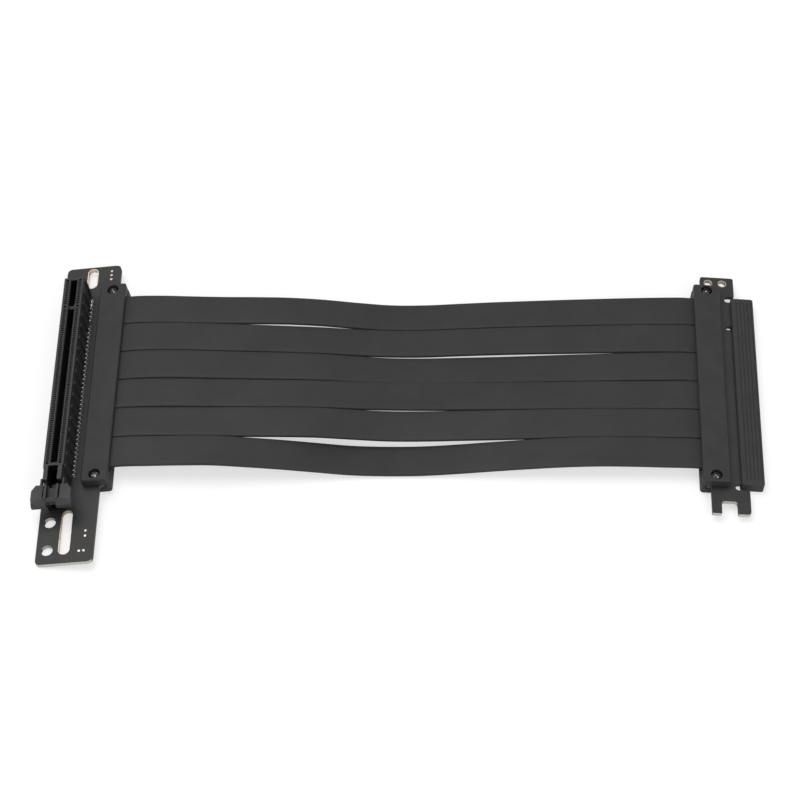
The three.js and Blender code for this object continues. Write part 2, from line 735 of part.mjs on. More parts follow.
function ribbon(index) {
  const points = ribbonStations.map((x, station) => (
    new THREE.Vector3(x, ribbonMiddle(index, x), ribbonHeights[index][station])
  ));
  const path = new THREE.CatmullRomCurve3(points, false, 'centripetal');
  const halfWidth = ribbonWidth / 2;
  const halfThickness = ribbonThickness / 2;
  const section = outline([
    [-halfWidth, -halfThickness + ribbonEdge],
    [-halfWidth + ribbonEdge, -halfThickness],
    [halfWidth - ribbonEdge, -halfThickness],
    [halfWidth, -halfThickness + ribbonEdge],
    [halfWidth, halfThickness - ribbonEdge],
    [halfWidth - ribbonEdge, halfThickness],
    [-halfWidth + ribbonEdge, halfThickness],
    [-halfWidth, halfThickness - ribbonEdge],
  ]);
  const geometry = new THREE.ExtrudeGeometry(section, {
    steps: ribbonSteps,
    extrudePath: path,
    bevelEnabled: false,
  });
  const position = geometry.attributes.position;
  const first = ribbonStations[0];
  const length = ribbonStations.at(-1) - first;
  for (let vertex = 0; vertex < position.count; vertex += 1) {
    const x = position.getX(vertex);
    const lean = ribbonLeans[index] * Math.sin(Math.PI * (x - first) / length) ** 2;
    const across = (ribbonMiddle(index, x) - position.getY(vertex)) / ribbonWidth;
    position.setZ(vertex, position.getZ(vertex) + lean * across);
  }
  return named(`ribbon_${index + 1}`, solid(geometry), 'ribbon');
}

// Assembly
const socketClamp = clamp('socket', 1);
socketClamp.position.set(socketClampOffset, socketClampShift, 0);

const socketEnd = new THREE.Group();
socketEnd.add(socketBoard(), slotHousing(), slotLatch(), socketClamp);
socketEnd.position.set(socketX, socketY, socketRise);
socketEnd.rotation.y = -socketTilt;

const plugClamp = clamp('plug', -1);
plugClamp.position.set(plugClampOffset, plugClampShift, 0);
plugClamp.rotation.z = Math.PI;

const plugEnd = new THREE.Group();
plugEnd.add(plugBoard(), dustCap(), plugClamp);
plugEnd.position.set(plugX, plugY, plugRise);
plugEnd.rotation.y = plugTilt;

const riser = new THREE.Group();
riser.add(socketEnd, plugEnd);
for (let index = 0; index < ribbonCount; index += 1) riser.add(ribbon(index));

export default riser;
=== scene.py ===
"""A graphics card riser, dressed: card slot board, six flat ribbons and a capped edge plug."""

import logging
import math
from dataclasses import dataclass, field
from enum import Enum
from typing import Iterable, Sequence

import bmesh
import bpy
from bmesh.types import BMEdge, BMesh, BMVert
from bpy.types import Material, Node, NodeSocket, NodeTree, Object
from mathutils import Matrix, Vector


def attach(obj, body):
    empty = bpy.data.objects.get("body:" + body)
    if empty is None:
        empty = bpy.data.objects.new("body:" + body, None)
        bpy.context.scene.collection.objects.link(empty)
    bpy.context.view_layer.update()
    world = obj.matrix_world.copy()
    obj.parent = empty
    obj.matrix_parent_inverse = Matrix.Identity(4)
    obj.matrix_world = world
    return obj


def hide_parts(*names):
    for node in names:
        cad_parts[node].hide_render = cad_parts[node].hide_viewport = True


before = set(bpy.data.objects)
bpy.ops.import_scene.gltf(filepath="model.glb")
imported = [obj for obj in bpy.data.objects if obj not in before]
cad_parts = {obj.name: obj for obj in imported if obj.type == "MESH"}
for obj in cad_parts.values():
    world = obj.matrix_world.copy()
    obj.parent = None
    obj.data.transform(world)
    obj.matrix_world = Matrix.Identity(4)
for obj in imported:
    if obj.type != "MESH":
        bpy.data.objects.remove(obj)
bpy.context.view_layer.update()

log = logging.getLogger("riser")

MM = 0.001
Colour = tuple[float, float, float]
Point = tuple[float, float, float]


class Body(Enum):
    """The bodies of the model that the scene's own pieces ride on."""

    ROOT = "root"
    LATCH = "latch"


class Slot(Enum):
    """The record's material slots that the scene's own pieces use."""

    LATCH_PLASTIC = "latch_plastic"
    COVER_PLASTIC = "cover_plastic"
    RIBBON = "ribbon_jacket"
    SCREW = "screw_steel"
    GOLD = "gold_plating"
    SOLDER = "solder"


@dataclass(frozen=True)
class Placement:
    """A frame on the object: its place in millimetres, its lean about Y and a half turn about Z."""

    x: float
    y: float
    z: float
    lean: float = 0.0
    turned: bool = False

    def matrix(self) -> Matrix:
        """The transform from the frame's millimetres to the object's metres."""
        turn = Matrix.Rotation(math.pi if self.turned else 0.0, 4, "Z")
        lean = Matrix.Rotation(math.radians(self.lean), 4, "Y")
        return Matrix.Scale(MM, 4) @ Matrix.Translation((self.x, self.y, self.z)) @ lean @ turn

    def beside(self, along: float, across: float, turned: bool = False) -> "Placement":
        """A frame shifted within this one.

        Args:
            along: shift along the frame's own x, in millimetres.
            across: shift along y, in millimetres.
            turned: whether the new frame looks the other way.

        Returns:
            The shifted frame, with the same lean.
        """
        lean = math.radians(self.lean)
        return Placement(
            self.x + along * math.cos(lean),
            self.y + across,
            self.z - along * math.sin(lean),
            self.lean,
            turned,
        )


WORLD = Placement(0.0, 0.0, 0.0)
SOCKET_END = Placement(-123.7513, 10.95, 2.6701, -9.524668)
PLUG_END = Placement(113.3487, 13.15, 4.5460, 3.960312)
SOCKET_CLAMP = SOCKET_END.beside(8.3, -0.6)
PLUG_CLAMP = PLUG_END.beside(6.6, 1.65, turned=True)


class Graph:
    """A short way to add and join the nodes of one node tree."""

    def __init__(self, tree: NodeTree) -> None:
        """Start on a tree, with whatever it holds removed."""
        self.tree = tree
        tree.nodes.clear()

    def add(self, kind: str, values: dict | None = None, **settings) -> Node:
        """Add a node.

        Args:
            kind: the node's type name.
            values: what its input sockets are set to, by name or number.
            **settings: the node's own properties.

        Returns:
            The new node.
        """
        node = self.tree.nodes.new(kind)
        for name, value in settings.items():
            setattr(node, name, value)
        for name, value in (values or {}).items():
            node.inputs[name].default_value = value
        return node

    def join(self, output: NodeSocket, *inputs: NodeSocket) -> None:
        """Link one output to each input."""
        for socket in inputs:
            self.tree.links.new(output, socket)

    def ramp(self, source: NodeSocket, low: float, high: float) -> NodeSocket:
        """A value that runs from 0 to 1 as the source goes from low to high."""
        node = self.add("ShaderNodeMapRange", {1: low, 2: high, 3: 0.0, 4: 1.0}, clamp=True)
        self.join(source, node.inputs[0])
        return node.outputs[0]

    def span(self, share: NodeSocket, low: float, high: float) -> NodeSocket:
        """A value that runs from low to high as the share goes from 0 to 1."""
        node = self.add("ShaderNodeMapRange", {3: low, 4: high})
        self.join(share, node.inputs[0])
        return node.outputs[0]

    def bump(
        self, height: NodeSocket, strength: float, distance: float, under: NodeSocket | None = None
    ) -> NodeSocket:
        """A normal that is bent by a relief.

        Args:
            height: the relief's height.
            strength: how much of the relief is felt.
            distance: how high it stands, in metres.
            under: the normal below the relief, or None for the surface's own.

        Returns:
            The bent normal's socket.
        """
        node = self.add("ShaderNodeBump", {"Strength": strength, "Distance": distance})
        self.join(height, node.inputs["Height"])
        if under is not None:
            self.join(under, node.inputs["Normal"])
        return node.outputs[0]

    def maths(self, operation: str, first: NodeSocket, second: float | NodeSocket) -> NodeSocket:
        """One arithmetic step.

        Args:
            operation: the step's name.
            first: the first value's socket.
            second: a number, or a socket that gives one.

        Returns:
            The result's socket.
        """
        node = self.add("ShaderNodeMath", operation=operation)
        self.join(first, node.inputs[0])
        if isinstance(second, (int, float)):
            node.inputs[1].default_value = second
        else:
            self.join(second, node.inputs[1])
        return node.outputs[0]

    def mix(
        self,
        factor: NodeSocket,
        first: Colour | NodeSocket,
        second: Colour | NodeSocket,
    ) -> NodeSocket:
        """A colour between two others.

        Args:
            factor: 0 for the first colour, 1 for the second.
            first: a colour, or a socket that gives one.
            second: a colour, or a socket that gives one.

        Returns:
            The mixed colour's socket.
        """
        node = self.add("ShaderNodeMix", data_type="RGBA")
        self.join(factor, node.inputs[0])
        for value, socket in ((first, node.inputs[6]), (second, node.inputs[7])):
            if isinstance(value, tuple):
                socket.default_value = (*value, 1.0)
            else:
                self.join(value, socket)
        return node.outputs[2]


def own_place(graph: Graph, placement: Placement) -> Node:
    """A node that turns Object coordinates into a placement's own millimetres.

    Args:
        graph: the material's graph.
        placement: the frame.

    Returns:
        The Mapping node.
    """
    inverse = placement.matrix().inverted()
    place = graph.add("ShaderNodeTexCoord")
    own = graph.add(
        "ShaderNodeMapping",
        {"Location": inverse.translation, "Rotation": inverse.to_euler(), "Scale": inverse.to_scale()},
    )
    graph.join(place.outputs["Object"], own.inputs["Vector"])
    return own


def new_group(name: str, inputs: dict[str, str], outputs: dict[str, str]) -> tuple[NodeTree, Graph]:
    """Make a shader node group with named sockets.

    Args:
        name: the group's name.
        inputs: socket type by name.
        outputs: socket type by name.

    Returns:
        The group and the graph to fill it with.
    """
    tree = bpy.data.node_groups.new(name, "ShaderNodeTree")
    for socket, kind in inputs.items():
        tree.interface.new_socket(socket, in_out="INPUT", socket_type=kind)
    for socket, kind in outputs.items():
        tree.interface.new_socket(socket, in_out="OUTPUT", socket_type=kind)
    return tree, Graph(tree)


class SharedEffects:
    """The effects that several finishes share, each built once."""

    def __init__(self) -> None:
        """Build the grain and the rounded edge."""
        self.grain = self._grain()
        self.edge = self._edge()

    def _grain(self) -> NodeTree:
        """Moulded grain: cloudy shade, a roughness shift and a fine relief."""
        tree, graph = new_group(
            "moulded_grain",
            {"Fineness": "NodeSocketFloat", "Relief": "NodeSocketFloat", "Normal": "NodeSocketVector"},
            {"Shade": "NodeSocketFloat", "Gloss": "NodeSocketFloat", "Normal": "NodeSocketVector"},
        )
        given = graph.add("NodeGroupInput")
        result = graph.add("NodeGroupOutput")
        place = graph.add("ShaderNodeTexCoord")
        fine = graph.add("ShaderNodeTexNoise", {"Detail": 2.0, "Roughness": 0.6})
        cloud = graph.add("ShaderNodeTexNoise", {"Scale": 170.0, "Detail": 4.0, "Roughness": 0.65})
        bump = graph.add("ShaderNodeBump", {"Distance": 0.0001})
        graph.join(place.outputs["Object"], fine.inputs["Vector"], cloud.inputs["Vector"])
        graph.join(given.outputs["Fineness"], fine.inputs["Scale"])
        graph.join(fine.outputs[0], bump.inputs["Height"])
        graph.join(given.outputs["Relief"], bump.inputs["Strength"])
        graph.join(given.outputs["Normal"], bump.inputs["Normal"])
        graph.join(graph.ramp(cloud.outputs[0], 0.35, 0.65), result.inputs["Shade"])
        graph.join(graph.ramp(fine.outputs[0], 0.3, 0.7), result.inputs["Gloss"])
        graph.join(bump.outputs[0], result.inputs["Normal"])
        return tree

    def _edge(self) -> NodeTree:
        """Rounded edges: the softened normal, and a mask of where the surface turns."""
        tree, graph = new_group(
            "rounded_edge",
            {"Radius": "NodeSocketFloat"},
            {"Mask": "NodeSocketFloat", "Normal": "NodeSocketVector"},
        )
        given = graph.add("NodeGroupInput")
        result = graph.add("NodeGroupOutput")
        bevel = graph.add("ShaderNodeBevel", samples=6)
        shape = graph.add("ShaderNodeNewGeometry")
        facing = graph.add("ShaderNodeVectorMath", operation="DOT_PRODUCT")
        graph.join(given.outputs["Radius"], bevel.inputs["Radius"])
        graph.join(bevel.outputs[0], facing.inputs[0], result.inputs["Normal"])
        graph.join(shape.outputs["True Normal"], facing.inputs[1])
        turned = graph.maths("SUBTRACT", facing.outputs["Value"], 1.0)
        graph.join(graph.ramp(turned, -0.01, -0.2), result.inputs["Mask"])
        return tree


def new_finish(name: str, values: dict) -> tuple[Material, Graph, Node]:
    """Start a material that is one shader.

    Args:
        name: the material's name.
        values: what the shader's sockets are set to.

    Returns:
        The material, its graph and its shader, already joined to the output.
    """
    made = bpy.data.materials.new(name)
    made.use_nodes = True
    graph = Graph(made.node_tree)
    shader = graph.add("ShaderNodeBsdfPrincipled", values)
    graph.join(shader.outputs[0], graph.add("ShaderNodeOutputMaterial").inputs[0])
    return made, graph, shader


@dataclass(frozen=True)
class PaintedRecessShade:
    """Painted shade in the depth of a moulding: the cells and the groove below its top face are coloured near
    black.
    """

    placement: Placement
    half: float
    top: float
    # near-black painted shade colour for the recesses
    colour: Colour = (0.0035, 0.0035, 0.0035)

    def mask(self, graph: Graph) -> NodeSocket:
        """Mask where the shade is painted: what lies inside the moulding's outline and below its top face.

        Args:
            graph: the material's graph.

        Returns:
            A mask that is 1 there.
        """
        apart = graph.add("ShaderNodeSeparateXYZ")
        graph.join(own_place(graph, self.placement).outputs[0], apart.inputs[0])
        inside = graph.ramp(graph.maths("ABSOLUTE", apart.outputs["X"], 0.0), self.half, self.half - 0.05)
        return graph.maths("MULTIPLY", inside, graph.ramp(apart.outputs["Z"], self.top, self.top - 0.5))


@dataclass(frozen=True)
class MouldedFinish:
    """A dark moulded plastic or rubber with fine grain and slightly worn edges, and painted shade in its
    recesses where that is given.
    """

    name: str
    shade: Colour
    pale: Colour
    worn: Colour
    roughness: float
    specular: float
    fineness: float = 5200.0
    relief: float = 0.25
    edge_radius: float = 0.00028
    edge_wear: float = 0.5
    painted_recess_shade: "PaintedRecessShade | None" = None

    def material(self, effects: SharedEffects) -> Material:
        """Build the finish's material."""
        made, graph, shader = new_finish(self.name, {"Specular IOR Level": self.specular})
        edge = graph.add("ShaderNodeGroup", node_tree=effects.edge)
        edge.inputs["Radius"].default_value = self.edge_radius
        grain = graph.add("ShaderNodeGroup", node_tree=effects.grain)
        grain.inputs["Fineness"].default_value = self.fineness
        grain.inputs["Relief"].default_value = self.relief
        graph.join(edge.outputs["Normal"], grain.inputs["Normal"])
        body = graph.mix(grain.outputs["Shade"], self.shade, self.pale)
        wear = graph.maths("MULTIPLY", edge.outputs["Mask"], self.edge_wear)
        colour = graph.mix(wear, body, self.worn)
        # painted shade: inside the outline and below the top face the colour goes near black
        if self.painted_recess_shade:
            colour = graph.mix(self.painted_recess_shade.mask(graph), colour, self.painted_recess_shade.colour)
        graph.join(colour, shader.inputs["Base Color"])
        rough = graph.span(grain.outputs["Gloss"], self.roughness - 0.05, self.roughness + 0.06)
        graph.join(rough, shader.inputs["Roughness"])
        graph.join(grain.outputs["Normal"], shader.inputs["Normal"])
        return made


@dataclass(frozen=True)
class JacketFinish:
    """The ribbons' jacket: matte, drawn lengthwise, with the wires faintly felt through it."""

    name: str = "ribbon_jacket"
    shade: Colour = (0.0195, 0.0195, 0.02)
    pale: Colour = (0.0255, 0.0255, 0.026)
    lint: Colour = (0.12, 0.12, 0.12)
    roughness: float = 0.58
    specular: float = 0.26
    wire_pitch: float = 0.00085
    streak: float = 1900.0

    def material(self) -> Material:
        """Build the jacket's material, whose pattern follows the ribbon's own length and width."""
        made, graph, shader = new_finish(self.name, {"Specular IOR Level": self.specular})
        place = graph.add("ShaderNodeTexCoord")
        drawn = graph.add("ShaderNodeMapping", {"Scale": (0.05, 1.0, 1.0)})
        streaks = graph.add("ShaderNodeTexNoise", {"Scale": self.streak, "Detail": 2.0})
        cloud = graph.add("ShaderNodeTexNoise", {"Scale": 45.0, "Detail": 5.0, "Roughness": 0.7})
        speck = graph.add("ShaderNodeTexVoronoi", {"Scale": 210.0})
        grain = graph.add("ShaderNodeTexNoise", {"Scale": 4200.0, "Detail": 1.0})
        pitch = math.pi / 10 / self.wire_pitch
        wires = graph.add("ShaderNodeTexWave", {"Scale": pitch}, wave_type="BANDS", bands_direction="Y")
        for node in (drawn, cloud, speck, grain, wires):
            graph.join(place.outputs["Object"], node.inputs["Vector"])
        graph.join(drawn.outputs[0], streaks.inputs["Vector"])
        body = graph.mix(graph.ramp(cloud.outputs[0], 0.35, 0.68), self.shade, self.pale)
        lint = graph.ramp(speck.outputs["Distance"], 0.045, 0.02)
        rare = graph.ramp(cloud.outputs[0], 0.56, 0.6)
        dusty = graph.maths("MULTIPLY", graph.maths("MULTIPLY", lint, rare), 0.55)
        graph.join(graph.mix(dusty, body, self.lint), shader.inputs["Base Color"])
        rough = graph.span(streaks.outputs[0], self.roughness - 0.05, self.roughness + 0.07)
        graph.join(rough, shader.inputs["Roughness"])
        felt = graph.bump(wires.outputs[0], 0.06, 0.0002)
        streaked = graph.bump(streaks.outputs[0], 0.12, 0.00006, felt)
        graph.join(graph.bump(grain.outputs[0], 0.2, 0.00005, streaked), shader.inputs["Normal"])
        return made


@dataclass(frozen=True)
class BoardFinish:
    """Black solder mask over laminate, with copper tracks under the mask; the laminate shows pale only at the
    board's end faces, and the cut walls in the holes and along the sides are painted dark as shade.
    """

    name: str
    placement: Placement
    track_start: float
    track_end: float
    mask: Colour = (0.0165, 0.0165, 0.017)
    mask_pale: Colour = (0.0225, 0.0225, 0.023)
    track: Colour = (0.03, 0.0298, 0.029)
    laminate: Colour = (0.52, 0.5, 0.46)
    fibre: Colour = (0.34, 0.32, 0.28)
    # painted shade colour for the laminate's cut walls in holes and along the sides
    cut_wall_painted_shade: Colour = (0.06, 0.055, 0.05)
    roughness: float = 0.5
    cut_roughness: float = 0.85
    specular: float = 0.36
    track_pitch: float = 1.0
    track_half: float = 42.0
    pale_from: float = 47.5

    def material(self) -> Material:
        """Build the board's material in the frame of the board itself."""
        made, graph, shader = new_finish(self.name, {"Specular IOR Level": self.specular})
        own = own_place(graph, self.placement)
        apart = graph.add("ShaderNodeSeparateXYZ")
        shape = graph.add("ShaderNodeNewGeometry")
        upright = graph.add("ShaderNodeVectorMath", operation="DOT_PRODUCT")
        upright.inputs[1].default_value = self.placement.matrix().to_3x3().col[2].normalized()
        graph.join(own.outputs[0], apart.inputs[0])
        graph.join(shape.outputs["True Normal"], upright.inputs[0])
        flat = graph.ramp(graph.maths("ABSOLUTE", upright.outputs["Value"], 0.0), 0.45, 0.55)
        lengthwise = graph.add("ShaderNodeVectorMath", operation="DOT_PRODUCT")
        lengthwise.inputs[1].default_value = self.placement.matrix().to_3x3().col[1].normalized()
        graph.join(shape.outputs["True Normal"], lengthwise.inputs[0])
        # the end faces beyond pale_from keep the pale laminate; all other cut walls get the painted shade
        unshaded_end_face = graph.ramp(graph.maths("ABSOLUTE", lengthwise.outputs["Value"], 0.0), 0.35, 0.75)
        along = graph.maths("ABSOLUTE", apart.outputs["Y"], 0.0)
        unshaded_end_face = graph.maths("MULTIPLY", unshaded_end_face, graph.ramp(along, self.pale_from, self.pale_from + 0.2))
        cloud = graph.add("ShaderNodeTexNoise", {"Scale": 0.16, "Detail": 4.0, "Roughness": 0.7})
        weave = graph.add("ShaderNodeTexWave", {"Scale": 1.6, "Distortion": 1.5}, bands_direction="Z")
        graph.join(own.outputs[0], cloud.inputs["Vector"], weave.inputs["Vector"])
        mask = graph.mix(graph.ramp(cloud.outputs[0], 0.35, 0.65), self.mask, self.mask_pale)
        tracks = self._tracks(graph, apart)
        top = graph.mix(graph.maths("MULTIPLY", tracks, 0.6), mask, self.track)
        # cut walls: painted shade, except the pale laminate of the end faces
        cut = graph.mix(unshaded_end_face, self.cut_wall_painted_shade, graph.mix(weave.outputs[0], self.laminate, self.fibre))
        graph.join(graph.mix(flat, cut, top), shader.inputs["Base Color"])
        graph.join(graph.span(flat, self.cut_roughness, self.roughness), shader.inputs["Roughness"])
        fine = graph.add("ShaderNodeTexNoise", {"Scale": 5.0, "Detail": 1.0})
        graph.join(own.outputs[0], fine.inputs["Vector"])
        raised = graph.bump(graph.maths("MULTIPLY", tracks, flat), 0.5, 0.00004)
        graph.join(graph.bump(fine.outputs[0], 0.15, 0.00005, raised), shader.inputs["Normal"])
        return made

    def _tracks(self, graph: Graph, apart: Node) -> NodeSocket:
        """Fine tracks that run from the connector to the ribbons, inside the stated stretch of the board.

        Args:
            graph: the material's graph.
            apart: the node that gives the board's own x, y and z.

        Returns:
            A mask that is 1 on a track.
        """
        turn = graph.maths("MULTIPLY", apart.outputs["Y"], 2 * math.pi / self.track_pitch)
        lines = graph.ramp(graph.maths("SINE", turn, 0.0), 0.1, 0.5)
        inside = graph.maths(
            "MULTIPLY",
            graph.ramp(apart.outputs["X"], self.track_start, self.track_start + 0.2),
            graph.ramp(apart.outputs["X"], self.track_end + 0.2, self.track_end),
        )
        along = graph.maths("ABSOLUTE", apart.outputs["Y"], 0.0)
        ends = graph.ramp(along, self.track_half + 0.3, self.track_half)
        return graph.maths("MULTIPLY", lines, graph.maths("MULTIPLY", inside, ends))


@dataclass(frozen=True)
class MetalFinish:
    """A metal with small scratches, dull spots and a slight tarnish."""

    name: str
    bright: Colour
    dull: Colour
    roughness: float
    metallic: float = 1.0
    scratch: float = 900.0
    relief: float = 0.15

    def material(self) -> Material:
        """Build the metal's material."""
        made, graph, shader = new_finish(self.name, {"Metallic": self.metallic})
        place = graph.add("ShaderNodeTexCoord")
        tarnish = graph.add("ShaderNodeTexNoise", {"Scale": 700.0, "Detail": 3.0, "Roughness": 0.6})
        scratch = graph.add("ShaderNodeTexNoise", {"Scale": self.scratch, "Detail": 6.0, "Distortion": 1.2})
        graph.join(place.outputs["Object"], tarnish.inputs["Vector"], scratch.inputs["Vector"])
        colour = graph.mix(graph.ramp(tarnish.outputs[0], 0.4, 0.7), self.bright, self.dull)
        graph.join(colour, shader.inputs["Base Color"])
        rough = graph.span(tarnish.outputs[0], self.roughness - 0.08, self.roughness + 0.14)
        graph.join(rough, shader.inputs["Roughness"])
        graph.join(graph.bump(scratch.outputs[0], self.relief, 0.00008), shader.inputs["Normal"])
        return made


class Palette:
    """Every material on the object, by what it is for."""

    def __init__(self) -> None:
        """Build the shared effects and the materials."""
        effects = SharedEffects()
        # the slot moulding carries painted shade in its cells and groove
        self.slot = MouldedFinish(
            "slot_moulding", (0.0145, 0.0145, 0.015), (0.0195, 0.0195, 0.02), (0.075, 0.075, 0.076),
            0.44, 0.42, edge_radius=0.00012, edge_wear=0.35, painted_recess_shade=PaintedRecessShade(SOCKET_END, 3.3, 11.15),
        ).material(effects)
        self.latch = MouldedFinish(
            "latch_moulding", (0.021, 0.021, 0.0215), (0.027, 0.027, 0.0275), (0.075, 0.075, 0.076),
            0.5, 0.36, edge_radius=0.0003,
        ).material(effects)
        self.cover = MouldedFinish(
            "cover_moulding", (0.0215, 0.0215, 0.022), (0.0265, 0.0265, 0.027), (0.08, 0.08, 0.081),
            0.58, 0.27,
        ).material(effects)
        self.cap = MouldedFinish(
            "cap_moulding", (0.0215, 0.0215, 0.022), (0.027, 0.027, 0.0275), (0.065, 0.065, 0.066),
            0.6, 0.3, fineness=3800.0, relief=0.3,
        ).material(effects)
        self.jacket = JacketFinish().material()
        self.socket_board = BoardFinish("socket_board_mask", SOCKET_END, 4.9, 8.0).material()
        self.plug_board = BoardFinish("plug_board_mask", PLUG_END, 6.9, 10.6, pale_from=48.5).material()
        self.gold = MetalFinish("gold_plating", (0.78, 0.63, 0.49), (0.6, 0.46, 0.33), 0.34).material()
        self.solder = MetalFinish(
            "solder", (0.95, 0.95, 0.94), (0.75, 0.75, 0.74), 0.3, metallic=0.25
        ).material()
        self.wire = MetalFinish("tinned_wire", (0.7, 0.68, 0.64), (0.5, 0.47, 0.42), 0.34).material()
        self.screw = MetalFinish(
            "screw_oxide", (0.03, 0.03, 0.031), (0.012, 0.012, 0.0125), 0.36, metallic=0.7
        ).material()
        self.screw_worn = MetalFinish("screw_worn", (0.6, 0.59, 0.57), (0.12, 0.12, 0.12), 0.26).material()


def finish_piece(
    shape: BMesh,
    name: str,
    placement: Placement,
    materials: Sequence[Material],
    body: Body = Body.ROOT,
    replaces: Iterable[str] = (),
    smooth: bool = True,
) -> Object:
    """Turn a shape into a finished piece of the object.

    Args:
        shape: the piece in its placement's millimetres; it is freed here.
        name: the piece's name.
        placement: where the shape's frame is.
        materials: the piece's materials, in the order of its faces' indices.
        body: what the piece rides on.
        replaces: the nodes that the piece stands for.
        smooth: whether faces below the crease angle shade as one.

    Returns:
        The piece.
    """
    bmesh.ops.transform(shape, matrix=placement.matrix(), verts=shape.verts)
    bmesh.ops.recalc_face_normals(shape, faces=shape.faces)
    mesh = bpy.data.meshes.new(name)
    shape.to_mesh(mesh)
    shape.free()
    piece = bpy.data.objects.new(name, mesh)
    bpy.context.scene.collection.objects.link(piece)
    for material in materials:
        mesh.materials.append(material)
    if smooth:
        mesh.shade_smooth()
        mesh.set_sharp_from_angle(angle=math.radians(40))
    nodes = list(replaces)
    if nodes:
        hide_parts(*nodes)
    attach(piece, body.value)
    log.info("%s: %d faces on %s", name, len(mesh.polygons), body.value)
    return piece


def dress_nodes(material: Material, *nodes: str) -> None:
    """Give carried-over solids their material.

    Args:
        material: the material.
        *nodes: the solids' names.
    """
    for name in nodes:
        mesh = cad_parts[name].data
        mesh.materials.clear()
        mesh.materials.append(material)
        log.info("%s: dressed in %s", name, material.name)


def long_loop(shape: BMesh, x: float, y0: float, y1: float, width: float, z: float) -> list[BMEdge]:
    """Add a round-ended loop that runs along y.

    Args:
        shape: what the loop is added to.
        x: the loop's middle line.
        y0: its near end.
        y1: its far end.
        width: its width.
        z: its height.

    Returns:
        The loop's edges.
    """
    count = 36
    made = bmesh.ops.create_circle(shape, segments=count, radius=width / 2)["verts"]
    bmesh.ops.rotate(shape, verts=made, matrix=Matrix.Rotation(math.pi / count, 3, "Z"))
    middle = (y0 + y1) / 2
    run = max(0.0, (y1 - y0 - width) / 2)
    bmesh.ops.translate(shape, verts=made, vec=(x, middle, z))
    for vert in made:
        vert.co.y += run if vert.co.y > middle else -run
    return list({edge for vert in made for edge in vert.link_edges})


# The ribbons' heights in millimetres at the cable's stations, and their leans, far side first
RIBBON_HEIGHTS = (
    (6.5, 7.5, 7.9, 7.7, 7.5, 7.5, 7.2, 6.0, 4.0, 2.3, 2.1, 2.8, 3.5, 4.0, 4.5, 5.0, 5.5, 5.9, 6.1, 5.7),
    (6.5, 7.5, 8.2, 8.2, 7.8, 7.3, 6.6, 5.7, 4.4, 3.4, 3.2, 3.8, 4.3, 4.7, 5.0, 5.4, 5.8, 6.1, 6.1, 5.7),
    (6.5, 7.5, 8.4, 8.5, 8.1, 7.7, 7.3, 6.5, 5.0, 3.6, 3.2, 3.4, 3.6, 4.0, 4.5, 5.0, 5.6, 6.0, 6.1, 5.7),
    (6.5, 7.5, 8.2, 8.4, 8.2, 8.0, 7.8, 7.3, 6.4, 5.6, 5.2, 5.1, 5.1, 5.1, 5.3, 5.4, 5.6, 5.8, 6.1, 5.7),
    (6.5, 7.5, 8.0, 8.2, 8.2, 8.2, 8.1, 7.6, 6.2, 4.9, 4.6, 4.8, 5.0, 5.3, 5.7, 6.0, 6.0, 6.0, 6.1, 5.7),
    (6.5, 7.5, 8.1, 8.6, 8.7, 7.6, 6.0, 4.0, 2.0, 1.2, 1.2, 2.2, 3.6, 4.9, 6.0, 6.6, 6.5, 6.2, 6.1, 5.7),
)
RIBBON_LEANS = (1.2, 1.0, 1.3, 1.0, -0.5, 0.3)


@dataclass
class Ribbon:
    """One flat ribbon: its number from the far side, its heights at the stations and its lean in mm."""

    number: int
    heights: Sequence[float]
    lean: float


